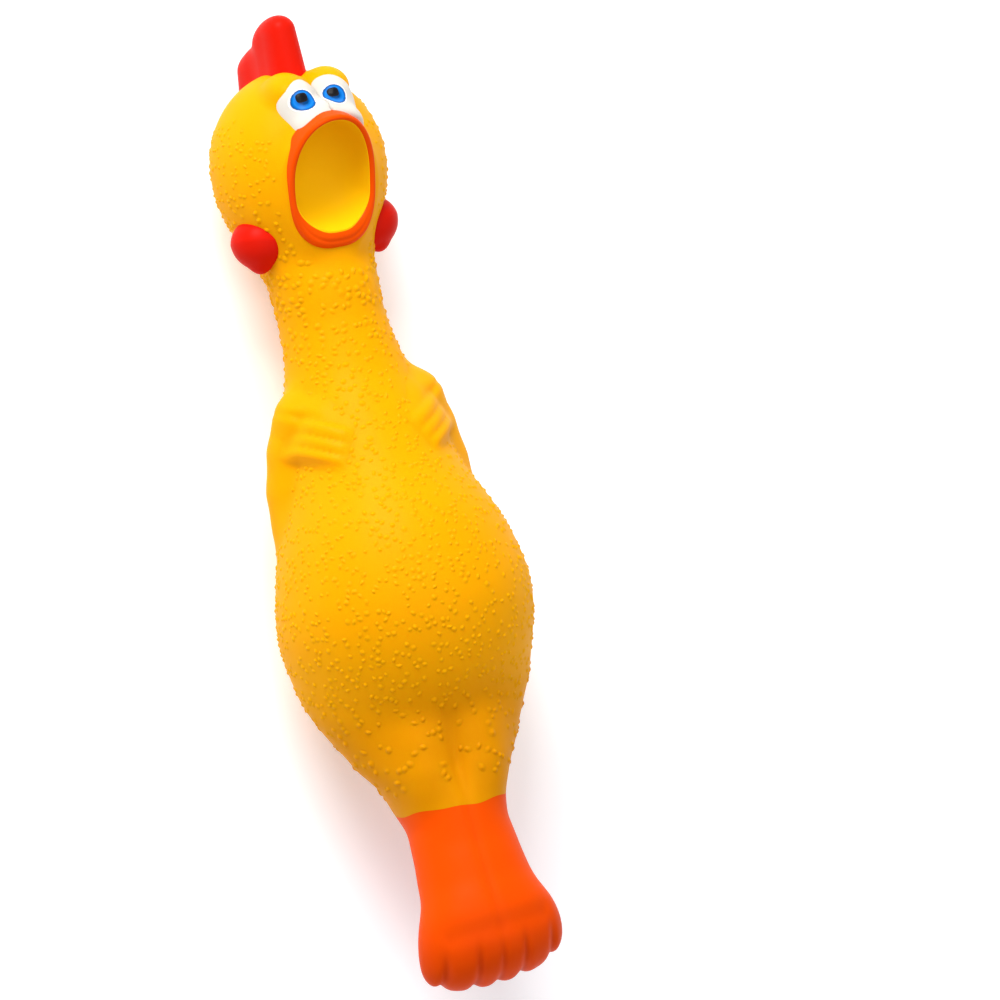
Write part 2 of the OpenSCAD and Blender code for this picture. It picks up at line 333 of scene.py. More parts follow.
def middle_of(y):
    """Height of the trunk's middle line."""
    low, high = flow(TRUNK, 2, y), flow(TRUNK, 3, y)
    return low + 0.48 * (high - low)


def trunk(p):
    """The lofted tube from the feet to the jaw, flat where it rests."""
    y = np.clip(p[:, 1], TRUNK[0][0], TRUNK_END)
    half, middle = flow(TRUNK, 1, y), middle_of(y)
    up = p[:, 2] - middle
    depth = np.where(up > 0, flow(TRUNK, 3, y) - middle, middle - flow(TRUNK, 2, y))
    share = np.sqrt((p[:, 0] / half) ** 2 + (up / depth) ** 2)
    reach = np.hypot(p[:, 0], up)
    slope = (flow(TRUNK, 1, y + 0.5) - flow(TRUNK, 1, y - 0.5)) ** 2
    d = reach * (1 - 1 / np.maximum(share, 0.05)) / np.sqrt(1 + slope)
    past = np.maximum(p[:, 1] - TRUNK_END, TRUNK[0][0] - p[:, 1])
    return cut(d, -past, 7.0)


WING = NECK_PIVOT[1] - 33.0  # the wings' own zero along Y

# Middle line of the folded arm: x, y, z and radius, from the shoulder to the elbow's end
ARM = [
    (10.4, 29.0, 20.8, 2.6),
    (11.7, 25.4, 22.6, 4.2),
    (14.3, 20.8, 23.4, 5.4),
    (16.6, 14.0, 21.6, 5.8),
    (18.2, 5.5, 20.4, 5.8),
    (19.0, -2.5, 20.4, 5.3),
    (19.0, -7.5, 21.0, 4.2),
    (18.9, -11.0, 22.0, 2.8),
]
ARM = [(point(x, WING + y, z), radius) for x, y, z, radius in ARM]

# Places of the creases beside the fingers, across the hand from the thumb down
CREASES = (0.0, 3.5, 6.55, 9.2)


def arm(p):
    """The arm along the flank."""
    return bars(p, [(a, b, ra, rb) for (a, ra), (b, rb) in zip(ARM, ARM[1:])], 5.0) + 0.6


def hand_relief(p):
    """How far the hand stands out from the chest: a palm that runs out into three fingers."""
    x, y = p[:, 0] - 15.0, p[:, 1] - WING - 21.4
    along, across = -0.87 * x - 0.49 * y, 0.49 * x - 0.87 * y
    palm = 1.5 * (1 - ramp(np.hypot((along + 1.0) / 8.6, (across + 0.5) / 7.4), 0.2, 1.0))
    reach = ramp(along, -3.0, 0.5) * (1 - ramp(along, 7.2, 10.8))
    pad = (1.75 - 0.95 * ramp(along, 1, 9)) * ramp(across, -4.0, 1.5) * (1 - ramp(across, 8.4, 11.2))
    phase = np.interp(across, CREASES, (0.0, 1.0, 2.0, 3.0))
    finger = np.abs(np.sin(math.pi * phase)) ** 0.6
    first = 1 - 0.4 * hump(across, CREASES[0], 0.9)
    finger = 0.62 * finger * ramp(along, -2.2, 0.8) * (1 - 0.4 * ramp(along, 5, 10))
    front = ramp(p[:, 2] - AXIS, 0.5, 6.0)
    return (union(-palm * first, -pad * reach, 0.8) * -1 + finger * reach - 0.2) * front * (palm + pad * reach > 0.2)


BELLY = point(0, LEG_TOP + 48, BELLY_TOP - 26.3)
HEAD = point(0, HEAD_PIVOT[1] + 26.5, AXIS)


def head(p):
    """Cranium, brow lobes, the ridge outside each eye and the muzzle."""
    d = ellipsoid(p, HEAD - point(0, 0.3, 0), point(20.7, 22.5, 18.8))
    q = folded(p, EYE_SHIFT)
    d = union(d, ellipsoid(q, HEAD + point(5.2, 16.3, 11.0), point(5.0, 4.1, 5.8), 30), 2.2)
    d = union(d, capsule(q, HEAD + point(10.8, 9.0, 6.2), HEAD + point(12.4, 2.0, 7.2), 1.8, 2.6), 4.0)
    return union(d, muzzle(p), 2.4)


# The mouth's own frame: zero on the middle of the beak's front edge, u across, v up along the lip, w out
MOUTH = HEAD + point(0, -6.7, 19.4)
MOUTH_LEAN = 23.0


def to_mouth(p):
    return leant(p - MOUTH, MOUTH_LEAN)


def from_mouth(q):
    return leant(q, -MOUTH_LEAN) + MOUTH


BEAK_POWERS = (2.1, 2.6)  # of the beak's upper and lower half: 2 is an ellipse, more is boxier
BEAK_SADDLE = 2.6  # how far the corners of the beak lie behind its tips
LIP_REACH = (11.1, 17.1)  # half width and half length of the lip's outer edge
MOUTH_DEPTH = 12.8


def beak_share(q, half_width, half_length):
    """1 on the beak's outline, in the mouth's frame."""
    power = np.where(q[:, 1] > 0, *BEAK_POWERS)
    return (np.abs(q[:, 0] / half_width) ** power + np.abs(q[:, 1] / half_length) ** power) ** (1 / power)


def saddle(v, half_length):
    """How far the lip lies behind the mouth's zero plane at a place along it."""
    return -BEAK_SADDLE * (1 - np.clip(np.abs(v) / half_length, 0, 1) ** 2)


def muzzle(p):
    """The fleshy collar behind the orange lip, which leaves room for the eyes above."""
    q = to_mouth(p)
    half_width, half_length = 10.8, 15.6
    share = beak_share(q, half_width, half_length)
    flare = 0.32 - 0.30 * ramp(q[:, 1], 2, 12)
    wide = (share - 1) * half_width + np.clip(q[:, 2] + 2.0, -12, 0) * flare
    face = q[:, 2] - saddle(q[:, 1], half_length) + 2.2
    return cut(cut(wide, -face, 1.2), 14 + q[:, 2], 2.0)


def leg_groove(p):
    """Depth of the groove between the legs."""
    y, x = p[:, 1], p[:, 0]
    front = ramp(p[:, 2] - middle_of(y), 1.0, 6.0)
    along = ramp(y, TOES + 4, TOES + 18) * ramp(y, LEG_TOP + 25, LEG_TOP + 14)
    deep = 0.28 + 0.55 * ramp(y, LEG_TOP - 6, LEG_TOP + 10)
    return deep * front * along * hump(x, 0, 1.5 + 0.9 * ramp(y, LEG_TOP - 4, LEG_TOP + 16))


def thigh(p):
    """The front of a thigh, a long swelling beside the groove."""
    return ellipsoid(p, point(7.3, LEG_TOP + 12.5, 28.2), point(6.8, 17.5, 14.0))


VALLEYS = (0.0, 5.7, 13.2)  # sideways places of the creases between the toes


def foot(p):
    """The two feet together: a thick pad with a squared outline and a rounded end."""
    past = p[:, 1] - (TOES + 8.6)
    length = np.where(past < 0, 8.5, 14.0)
    outline = (np.abs(p[:, 0] / 16.6) ** 2.5 + np.abs(past / length) ** 2.5) ** (1 / 2.5)
    level = LEG_PIVOT[2] + 6.6 - 2.4 * ramp(p[:, 1], TOES + 12, TOES)
    share = np.hypot(outline, (p[:, 2] - level) / 9.7)
    return (share - 1) * 8.0


def toe_creases(p):
    """Depth of the creases between the toes, which deepen towards the tips."""
    x, y = np.abs(p[:, 0]), p[:, 1]
    tips = ramp(y, TOES + 13.5, TOES + 5.0)
    depth = np.zeros(len(p))
    for valley, deep in zip(VALLEYS, (0.7, 0.95, 0.9)):
        wide = 0.95 + 0.45 * ramp(y, TOES + 8, TOES)
        depth += deep * hump(x, valley, wide)
    knuckles = 0.45 * hump(y, TOES + 14.0, 2.6) * ramp(p[:, 2] - LEG_PIVOT[2], 2, 8) * ramp(x, 15, 11)
    return depth * tips * (0.75 + 0.5 * ramp(y, TOES + 4, TOES)) + knuckles


def skin(p):
    """The whole casting, feet to crown, without comb, wattles, beak and eyes. Only its brows differ between sides."""
    both, p = p, folded(p)
    y = p[:, 1]
    fillet = 3.6 + 5.0 * ramp(y, BELLY[1] - 24, BELLY[1] + 6)
    d = union(trunk(p), ellipsoid(p, BELLY, point(28.6, 29.4, 26.0)), fillet)
    low = y < LEG_TOP + 50
    if low.any():
        q = p[low]
        e = union(union(d[low], thigh(q), 5.0), foot(q), 3.0)
        d[low] = e + leg_groove(q) + toe_creases(q)
    mid = (y > LEG_TOP + 40) & (y < NECK_PIVOT[1] + 8)
    if mid.any():
        q = p[mid]
        d[mid] = union(d[mid], arm(q), 2.2) - hand_relief(q)
    top = y > SEAM + 2
    if top.any():
        d[top] = union(d[top], head(both[top]), 4.0)
    return cut(d, p[:, 2], 1.6)  # flat where it rests


def twisted(p):
    """Turns points about the neck's middle line, from nothing below the neck to the whole turn at the head."""
    share = ramp(p[..., 1], NECK_PIVOT[1] - 6, HEAD_PIVOT[1] + 4)
    angle = np.radians(HEAD_TWIST) * share
    c, s = np.cos(angle), np.sin(angle)
    x, z = p[..., 0], p[..., 2] - AXIS
    return np.stack([x * c + z * s - HEAD_SHIFT * share, p[..., 1], z * c - x * s + AXIS], -1)


# ---------------- meshes cast from fields


WALK_STEPS = 46  # enough for the slowest ray
WALK_SHARE = 0.72  # of the field's value at each step, since the fields are not exact distances
SKIN_REACH, HEAD_REACH = 36.0, 40.0  # how far out the rays start
FULL_TURN, QUARTER_TURN = 2 * math.pi, math.pi / 2
CREASE_ANGLE = math.radians(55)  # a sharper edge than this is shaded sharp


def cast(field, origins, directions, reach):
    """Walks each ray inwards from reach until it meets the field's surface, and returns the points there."""
    distance = np.full(len(origins), float(reach))
    for _ in range(WALK_STEPS):
        d = field(origins + directions * distance[:, None])
        distance = np.maximum(distance - WALK_SHARE * d, 0.05)
    return origins + directions * distance[:, None]


def turns(around):
    """Even angles round a ring, from the back."""
    return np.linspace(0, FULL_TURN, around, endpoint=False) - QUARTER_TURN


def spokes(turn):
    """Directions square to Y."""
    return np.stack([np.cos(turn), np.zeros(len(turn)), np.sin(turn)], 1)


def cast_cap(field, centre, tilts, around, reach, pole=1.0):
    """Rings of a field's surface round a centre, at tilts from square towards the pole on Y, and the pole's point."""
    tilt = np.asarray(tilts)[:, None, None]
    directions = (np.cos(tilt) * spokes(turns(around))[None] + np.sin(tilt) * point(0, pole, 0)).reshape(-1, 3)
    surface = cast(field, np.tile(centre, (len(directions), 1)), directions, reach)
    tip = cast(field, centre[None], point(0, pole, 0)[None], reach)[0]
    return surface.reshape(len(tilts), around, 3), tip


def grid_faces(rings, around, joined=False):
    """Quads between neighbouring rings. joined also ties the last ring to the first."""
    i = np.arange(rings if joined else rings - 1)[:, None]
    j = np.arange(around)[None]
    low, high, k = i * around, (i + 1) % rings * around, (j + 1) % around
    return np.stack([low + j, low + k, high + k, high + j], -1).reshape(-1, 4).tolist()


def tube_mesh(name, rings, first=None, last=None, flip=False):
    """A closed mesh through rings of points. An end closes to the point given, or to the middle of its ring."""
    count, around = rings.shape[:2]
    first = rings[0].mean(0) if first is None else first
    last = rings[-1].mean(0) if last is None else last
    j = np.arange(around)
    k, top, total = (j + 1) % around, (count - 1) * around, np.full(around, count * around)
    faces = grid_faces(count, around)
    faces += np.stack([k, j, total], 1).tolist()
    faces += np.stack([top + j, top + k, total + 1], 1).tolist()
    if flip:
        faces = [face[::-1] for face in faces]
    return new_piece(name, np.concatenate([rings.reshape(-1, 3), [first, last]]), faces)


def new_piece(name, points, faces):
    """A smooth-shaded mesh object from points in millimetres."""
    mesh = bpy.data.meshes.new(name)
    mesh.from_pydata((points * MM).tolist(), [], faces)
    mesh.validate()
    mesh.shade_smooth()
    mesh.set_sharp_from_angle(angle=CREASE_ANGLE)
    piece = bpy.data.objects.new(name, mesh)
    bpy.context.scene.collection.objects.link(piece)
    return piece


def blob(name, field, centre, reach, rings, around):
    """A closed mesh of a field that bulges all round a centre, turned with the head."""
    tilts = np.linspace(-QUARTER_TURN, QUARTER_TURN, rings + 2)[1:-1]
    surface, top = cast_cap(field, centre, tilts, around, reach)
    bottom = cast(field, centre[None], point(0, -1, 0)[None], reach)[0]
    return tube_mesh(name, twisted(surface), twisted(bottom), twisted(top), flip=True)


def bend_into_neck(piece):
    """Bakes the transform of a piece of the torso's skin into its mesh."""
    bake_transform(piece)


def bend_into_head(piece):
    """Bakes the transform of a piece of the head's skin into its mesh."""
    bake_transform(piece)


def paint_points(piece, name, values):
    """Keeps one number per point on the mesh, for the nubs and materials."""
    layer = piece.data.attributes.new(name, "FLOAT", "POINT")
    layer.data.foreach_set("value", np.asarray(values, np.float32))


def points_of(piece):
    """Points of a piece's mesh, in millimetres."""
    flat = np.zeros(len(piece.data.vertices) * 3, np.float32)
    piece.data.vertices.foreach_get("co", flat)
    return flat.reshape(-1, 3).astype(float) / MM


def move_points(piece, points):
    piece.data.vertices.foreach_set("co", (points * MM).astype(np.float32).reshape(-1))
    piece.data.update()


# ---------------- materials

# Places of a colour mix's sockets
MIX_FACTOR, MIX_FROM, MIX_TO, MIX_RESULT = 0, 6, 7, 2
LIGHT_REACH = (0.0030, 0.0014, 0.0004)  # how far red, green and blue light run inside the vinyl, in metres


def fill(made, sockets):
    """Sets a node's sockets, by name or number, to constants or to other nodes' outputs."""
    for key, value in sockets.items():
        if isinstance(value, bpy.types.NodeSocket):
            made.id_data.links.new(value, made.inputs[key])
        else:
            made.inputs[key].default_value = value


def node(tree, kind, sockets=None, **settings):
    """A shader or geometry node with its settings and sockets."""
    made = tree.nodes.new(kind)
    for key, value in settings.items():
        setattr(made, key, value)
    fill(made, sockets or {})
    return made


def new_material(name):
    """A material, its tree and its shader."""
    material = bpy.data.materials.new(name)
    material.use_nodes = True
    return material, material.node_tree, material.node_tree.nodes["Principled BSDF"]


def noise(tree, where, scale, detail, roughness=0.5):
    sockets = {"Vector": where, "Scale": scale, "Detail": detail, "Roughness": roughness}
    return node(tree, "ShaderNodeTexNoise", sockets).outputs["Fac"]


def spread(tree, value, low, high, start=0.0, end=1.0):
    """Runs from low to high as value goes from start to end."""
    sockets = {"Value": value, "From Min": start, "From Max": end, "To Min": low, "To Max": high}
    return node(tree, "ShaderNodeMapRange", sockets).outputs["Result"]


def sums(tree, kind, *values, **settings):
    """The result of a Math or Vector Math node."""
    return node(tree, kind, dict(enumerate(values)), **settings).outputs


def bands(tree, value, stops):
    """A colour that runs through stops, each a place and a colour."""
    made = node(tree, "ShaderNodeValToRGB", {"Fac": value})
    elements = made.color_ramp.elements
    for element, (place, tint) in ((elements[0], stops[0]), (elements[1], stops[-1])):
        element.position, element.color = place, (*tint, 1)
    for place, tint in stops[1:-1]:
        elements.new(place).color = (*tint, 1)
    return made.outputs["Color"]


def grained(tree, height, strength, distance):
    """A bumped normal."""
    sockets = {"Height": height, "Strength": strength, "Distance": distance}
    return node(tree, "ShaderNodeBump", sockets).outputs["Normal"]


def vinyl(name, main, deep, roughness, coat, soft, grain):
    """Soft moulded vinyl: a little light under the surface, fine grain, a darker tone in random patches, and painted
    shade where the mesh's point numbers mark creases and shaded places.
    """
    material, tree, shader = new_material(name)
    where = node(tree, "ShaderNodeTexCoord").outputs["Object"]
    patches = spread(tree, noise(tree, where, 38.0, 3.0, 0.55), 0.0, 0.16, 0.35, 0.75)
    # Painted shade: numbers on the mesh's points darken creases and shaded places towards the deep colour, on top of
    # the random patches
    hollow = node(tree, "ShaderNodeAttribute", attribute_name="hollow").outputs["Fac"]
    patches_and_shade = sums(tree, "ShaderNodeMath", patches, hollow, operation="ADD", use_clamp=True)[0]
    tone = node(tree, "ShaderNodeMix", data_type="RGBA")
    fill(tone, {MIX_FACTOR: patches_and_shade, MIX_FROM: (*main, 1), MIX_TO: (*deep, 1)})
    worn = noise(tree, where, 160.0, 4.0, 0.6)
    fine = noise(tree, where, 2600.0, 3.0, 0.6)
    wavy = noise(tree, where, 220.0, 2.0)
    relief = sums(tree, "ShaderNodeMath", fine, 0.25, wavy, operation="MULTIPLY_ADD")[0]
    looks = {
        "Base Color": tone.outputs[MIX_RESULT],
        "Roughness": spread(tree, worn, roughness - 0.06, roughness + 0.08),
        "Normal": grained(tree, relief, grain, 0.0001),
        "Subsurface Weight": soft,
        "Subsurface Radius": LIGHT_REACH,
        "Subsurface Scale": 1.0,
        "Coat Weight": coat,
        "Coat Roughness": 0.32,
        "IOR": 1.46,
        "Specular IOR Level": 0.03,
    }
    fill(shader, looks)
    return material


def dress(piece, material):
    piece.data.materials.clear()
    piece.data.materials.append(material)


def kept_vinyl(colour, **finish):
    """One of the chicken's vinyls, made once, in a colour of the settings and its darker tone, which serves both random
    patches and painted shade.
    """
    tint, name = bpy.context.scene.chicken_colours, f"{colour} vinyl"
    return bpy.data.materials.get(name) or vinyl(name, getattr(tint, colour), getattr(tint, f"{colour}_deep"), **finish)


def yellow_vinyl():
    return kept_vinyl("yellow", roughness=0.46, coat=0.015, soft=0.18, grain=0.10)


def orange_vinyl():
    return kept_vinyl("orange", roughness=0.40, coat=0.03, soft=0.10, grain=0.08)


def red_vinyl():
    return kept_vinyl("red", roughness=0.40, coat=0.04, soft=0.10, grain=0.08)


# ---------------- skin


def border(turn):
    """The painted edge between the yellow skin and the orange legs, a little uneven round the legs."""
    return LEG_TOP + 0.28 * np.sin(3 * turn + 0.6) + 0.16 * np.sin(7 * turn + 2.0)


def middle_line(y):
    """Points on the middle line, where the rays of the rings start."""
    return np.stack([np.zeros_like(y), y, middle_of(y)], 1)


def head_line(y):
    """The same in the head, where the line rises from the neck's own to the head's middle."""
    line = middle_line(y)
    line[:, 2] += (AXIS - line[:, 2]) * ramp(y, SEAM, SEAM + 20)
    return line


def cast_rows(y, line, reach):
    """Casts a grid of rays square to Y. y is rows x around, and line gives the rays' starts."""
    rows, around = y.shape
    directions = np.tile(spokes(turns(around)), (rows, 1))
    return cast(skin, line(y.reshape(-1)), directions, reach).reshape(rows, around, 3)


def from_border(end, around, step):
    """Places along Y of the rows between the painted edge of the legs and an end."""
    share = np.linspace(0, 1, int(abs(end - LEG_TOP) / step))[:, None]
    return border(turns(around))[None] * (1 - share) + end * share


def hollow_of(p, wide=2.2):
    """How deep a point lies in a crease: 0 on open skin, 1 in a sharp inner corner. The painted shade in creases
    follows it.
    """
    bend = sum(skin(p + sign * wide * axis) for axis in np.eye(3) for sign in (1, -1)) / wide
    return np.clip(-bend * 0.55, 0, 1)


def nub_share(p):
    """Share of the full nub density at a point of the skin, in the pattern before the head is turned."""
    q = folded(p)
    x, y, z = q.T
    share = 1 - ramp(arm(q), 1.6, 0.5) * ramp(y, WING - 14, WING - 12)
    share *= 1 - ramp(hand_relief(q), 0.02, 0.2)
    share *= ramp(y, LEG_TOP + 3.0, LEG_TOP + 7.0) * (1 - 0.55 * ramp(y, LEG_TOP + 30, LEG_TOP + 20))
    share *= 1 - hump(x, 0, 1.7) * ramp(y, LEG_TOP + 24, LEG_TOP + 20) * ramp(z, AXIS + 6, AXIS + 12)
    in_mouth = to_mouth(q)
    lip = beak_share(in_mouth, *LIP_REACH)
    share *= 1 - (1 - ramp(lip, 1.15, 1.25)) * ramp(in_mouth[:, 2], -17, -10)
    share *= 1 - ramp(y, HEAD[1] + 9.5, HEAD[1] + 12.5)
    share *= ramp(ellipsoid(q, HEAD + point(5, 12, 11), point(10.5, 8.5, 11)), 0.0, 1.5)
    share *= 1 - hump(y, SEAM, 0.9)
    return np.clip(share, 0, 1)


def nub_scale(p):
    """Size of the nubs at a point: small on the cheeks, large on the throat and thighs."""
    y = p[:, 1]
    size = 0.86 + 0.30 * ramp(y, LEG_TOP + 34, LEG_TOP + 12)
    size += 0.30 * hump(y, SEAM + 9, 13)
    return size - 0.12 * ramp(y, HEAD[1] - 12, HEAD[1] - 2)


def finish_skin(piece):
    """Adds the numbers that nubs and colours follow, the painted shade among them, then turns the head part and dresses
    the piece.
    """
    pattern = points_of(piece)
    # Painted shade: a darker tone in creases and towards the legs, where the lower body turns from the light
    low = 0.8 * ramp(pattern[:, 1], LEG_TOP + 33, LEG_TOP + 17)
    paint_points(piece, "hollow", np.clip(0.8 * hollow_of(pattern) + low, 0, 1))
    paint_points(piece, "nub_share", nub_share(pattern))
    paint_points(piece, "nub_scale", nub_scale(pattern))
    move_points(piece, twisted(pattern))
    dress(piece, yellow_vinyl())


class CHICKEN_OT_torso_skin(bpy.types.Operator):
    """Cast the yellow skin of the torso, wings and lower neck"""

    bl_idname = "chicken.torso_skin"
    bl_label = "Torso skin"

    def execute(self, context):
        size = context.scene.chicken_skin
        rings = cast_rows(from_border(SEAM, size.around, size.step / MM), middle_line, SKIN_REACH)
        piece = tube_mesh("torso_and_wings", rings, flip=True)
        finish_skin(piece)
        cut_squeaker_pocket(piece)
        bend_into_neck(piece)
        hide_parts("torso_skin", "wing_right", "wing_left", "neck_skin")
        return {"FINISHED"}


def cut_squeaker_pocket(piece):
    """Sinks the round pocket for the squeaker into the back."""
    centre = (SQUEAKER_LOW + SQUEAKER_HIGH) / 2
    gap = 0.15
    flange = (SQUEAKER_HIGH[0] - SQUEAKER_LOW[0]) / 2 + gap
    roof = SQUEAKER_HIGH[2] + 0.4
    floor = point(centre[0], centre[1], -3.0)
    turn = np.linspace(0, FULL_TURN, 96, endpoint=False)
    profile = [(flange + 0.5, -3.0), (flange + 0.5, 0.0), (flange + 0.1, 0.45), (flange, 0.9), (flange, roof)]
    rings = np.array([[(r * math.cos(a), r * math.sin(a), z) for a in turn] for r, z in profile])
    rings = rings + point(centre[0], centre[1], 0)
    carve(piece, tube_mesh("pocket tool", rings, floor, point(centre[0], centre[1], roof)))


def carve(piece, tool):
    """Takes a tool's volume out of a piece, and removes the tool."""
    modifier = piece.modifiers.new("carve", "BOOLEAN")
    modifier.operation, modifier.solver, modifier.object = "DIFFERENCE", "EXACT", tool
    apply_modifiers(piece)
    bpy.data.objects.remove(tool)


def apply_modifiers(piece):
    """Turns a piece's modifiers into its plain mesh."""
    graph = bpy.context.evaluated_depsgraph_get()
    graph.update()
    mesh = bpy.data.meshes.new_from_object(piece.evaluated_get(graph))
    piece.modifiers.clear()
    old = piece.data
    piece.data = mesh
    bpy.data.meshes.remove(old)


class CHICKEN_OT_head_skin(bpy.types.Operator):
    """Cast the yellow skin of the upper neck and head"""

    bl_idname = "chicken.head_skin"
    bl_label = "Head skin"

    def execute(self, context):
        size = context.scene.chicken_skin
        around = size.around
        centre = HEAD + point(0, -4, 0)
        y = np.linspace(SEAM, centre[1], int((centre[1] - SEAM) / (size.step / MM)))
        lower = cast_rows(np.tile(y[:, None], (1, around)), head_line, HEAD_REACH)
        upper, pole = cast_cap(skin, centre, np.linspace(0, QUARTER_TURN, 48)[1:-1], around, HEAD_REACH)
        piece = tube_mesh("head_and_throat", np.concatenate([lower, upper]), last=pole, flip=True)
        finish_skin(piece)
        carve(piece, mouth_shell("mouth tool", outset=0.5, drop=0.5, rise=5.0))
        clear_mouth_of_nubs(piece)
        bend_into_head(piece)
        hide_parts("head_skin")
        return {"FINISHED"}


def clear_mouth_of_nubs(piece):
    """Sets the nub density to nothing on the wall that the mouth was cut from."""
    p = points_of(piece)
    c, s = math.cos(math.radians(HEAD_TWIST)), math.sin(math.radians(HEAD_TWIST))
    x, z = p[:, 0] + HEAD_SHIFT, p[:, 2] - AXIS
    in_mouth = to_mouth(np.stack([x * c - z * s, p[:, 1], x * s + z * c + AXIS], 1))
    near = (beak_share(in_mouth, *LIP_REACH) < 1.15) & (in_mouth[:, 2] > -MOUTH_DEPTH - 4)
    values = np.zeros(len(p), np.float32)
    layer = piece.data.attributes["nub_share"].data
    layer.foreach_get("value", values)
    values[near] = 0
    layer.foreach_set("value", values)


class CHICKEN_OT_legs(bpy.types.Operator):
    """Cast the orange legs and the six toes"""

    bl_idname = "chicken.legs"
    bl_label = "Legs and toes"

    def execute(self, context):
        size = context.scene.chicken_skin
        around = size.around
        ankle = TOES + 17.0
        shaft = cast_rows(from_border(ankle, around, size.step / MM), middle_line, SKIN_REACH)
        centre = middle_line(np.array([ankle]))[0]
        feet, pole = cast_cap(skin, centre, np.linspace(0, QUARTER_TURN, 64)[1:-1], around, SKIN_REACH, -1.0)
        piece = tube_mesh("legs_and_toes", np.concatenate([shaft, feet]), last=pole)
        pattern = points_of(piece)
        # Painted shade: a darker tone in creases and towards the toes, which turn from the light
        low = 0.35 * ramp(pattern[:, 1], TOES + 24, TOES + 10)
        paint_points(piece, "hollow", np.clip(0.9 * hollow_of(pattern, 1.6) + low, 0, 1))
        pattern[:, 1] += TOE_SLANT * pattern[:, 0] * ramp(pattern[:, 1], LEG_TOP - 14, TOES + 12)
        move_points(piece, pattern)
        dress(piece, orange_vinyl())
        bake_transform(piece)
        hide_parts("leg_skin")
        return {"FINISHED"}


# ---------------- nubs


def dome_of(tree):
    """A small dome whose foot flares out, one unit wide and high."""
    sizes = {"Vertices": 12, "Side Segments": 4, "Radius Top": 0.0, "Radius Bottom": 0.5, "Depth": 1.0}
    cone = node(tree, "GeometryNodeMeshCone", sizes, fill_type="NONE").outputs["Mesh"]
    place = node(tree, "GeometryNodeInputPosition").outputs["Position"]
    flat = sums(tree, "ShaderNodeVectorMath", place, (1, 1, 0), operation="MULTIPLY")["Vector"]
    out = sums(tree, "ShaderNodeVectorMath", flat, operation="LENGTH")["Value"]
    angle = sums(tree, "ShaderNodeMath", out, FULL_TURN, operation="MULTIPLY")[0]
    wave = sums(tree, "ShaderNodeMath", angle, operation="COSINE")[0]
    rise = sums(tree, "ShaderNodeMath", wave, 0.5, 0.36, operation="MULTIPLY_ADD")[0]
    up = node(tree, "ShaderNodeCombineXYZ", {"Z": rise}).outputs["Vector"]
    curved = sums(tree, "ShaderNodeVectorMath", flat, up, operation="ADD")["Vector"]
    return node(tree, "GeometryNodeSetPosition", {"Geometry": cone, "Position": curved}).outputs["Geometry"]


def nub_tree():
    """Geometry nodes that scatter flared domes over the skin, by its own density and size."""
    tree = bpy.data.node_groups.new("Skin nubs", "GeometryNodeTree")
    sockets = {"Geometry": "Geometry", "Width": "Float", "Height": "Float", "Gap": "Float", "Density": "Float"}
    for label, kind in {**sockets, "Seed": "Int", "Material": "Material"}.items():
        tree.interface.new_socket(label, in_out="INPUT", socket_type=f"NodeSocket{kind}")
    tree.interface.new_socket("Geometry", in_out="OUTPUT", socket_type="NodeSocketGeometry")
    given = node(tree, "NodeGroupInput").outputs

    def painted(name):
        found = node(tree, "GeometryNodeInputNamedAttribute", data_type="FLOAT")
        found.inputs["Name"].default_value = name
        return found.outputs["Attribute"]

    def chance(low, high):
        made = node(tree, "FunctionNodeRandomValue", data_type="FLOAT_VECTOR")
        fill(made, {0: low, 1: high, "Seed": given["Seed"]})
        return made.outputs[0]

    limits = {"Distance Min": given["Gap"], "Density Max": given["Density"], "Density Factor": painted("nub_share")}
    scatter = node(tree, "GeometryNodeDistributePointsOnFaces", distribute_method="POISSON")
    fill(scatter, {"Mesh": given["Geometry"], "Seed": given["Seed"], **limits})

    full = {"X": given["Width"], "Y": given["Width"], "Z": given["Height"]}
    full = node(tree, "ShaderNodeCombineXYZ", full).outputs["Vector"]
    vary = chance((0.72, 0.72, 0.6), (1.3, 1.3, 1.15))
    scaled = sums(tree, "ShaderNodeVectorMath", vary, full, operation="MULTIPLY")["Vector"]
    local = node(tree, "ShaderNodeVectorMath", operation="SCALE")
    fill(local, {0: scaled, "Scale": painted("nub_scale")})

    turn = node(tree, "FunctionNodeEulerToRotation", {0: chance((0, 0, 0), (0, 0, FULL_TURN))}).outputs[0]
    turn = {"Rotation": scatter.outputs["Rotation"], "Rotate By": turn}
    turn = node(tree, "FunctionNodeRotateRotation", turn, rotation_space="LOCAL").outputs["Rotation"]
    nubs = {"Points": scatter.outputs["Points"], "Instance": dome_of(tree), "Rotation": turn}
    nubs = node(tree, "GeometryNodeInstanceOnPoints", {**nubs, "Scale": local.outputs["Vector"]}).outputs["Instances"]
    real = node(tree, "GeometryNodeRealizeInstances", {"Geometry": nubs}).outputs["Geometry"]
    smooth = node(tree, "GeometryNodeSetShadeSmooth", {"Geometry": real}).outputs["Geometry"]
    done = node(tree, "GeometryNodeSetMaterial", {"Geometry": smooth, "Material": given["Material"]})
    node(tree, "NodeGroupOutput", {"Geometry": done.outputs["Geometry"]})
    return tree


def scatter_nubs(skin_piece, name, tree, seed):
    """A plain mesh of the nubs on one piece of skin."""
    size = bpy.context.scene.chicken_skin
    piece = bpy.data.objects.new(name, skin_piece.data.copy())
    bpy.context.scene.collection.objects.link(piece)
    modifier = piece.modifiers.new("nubs", "NODES")
    modifier.node_group = tree
    values = {
        "Width": size.nub_width,
        "Height": size.nub_height,
        "Gap": size.nub_gap,
        "Density": size.nub_count,
        "Seed": seed,
        "Material": yellow_vinyl(),
    }
    for item in tree.interface.items_tree:
        if item.in_out == "INPUT" and item.name in values:
            modifier[item.identifier] = values[item.name]
    apply_modifiers(piece)
    return piece


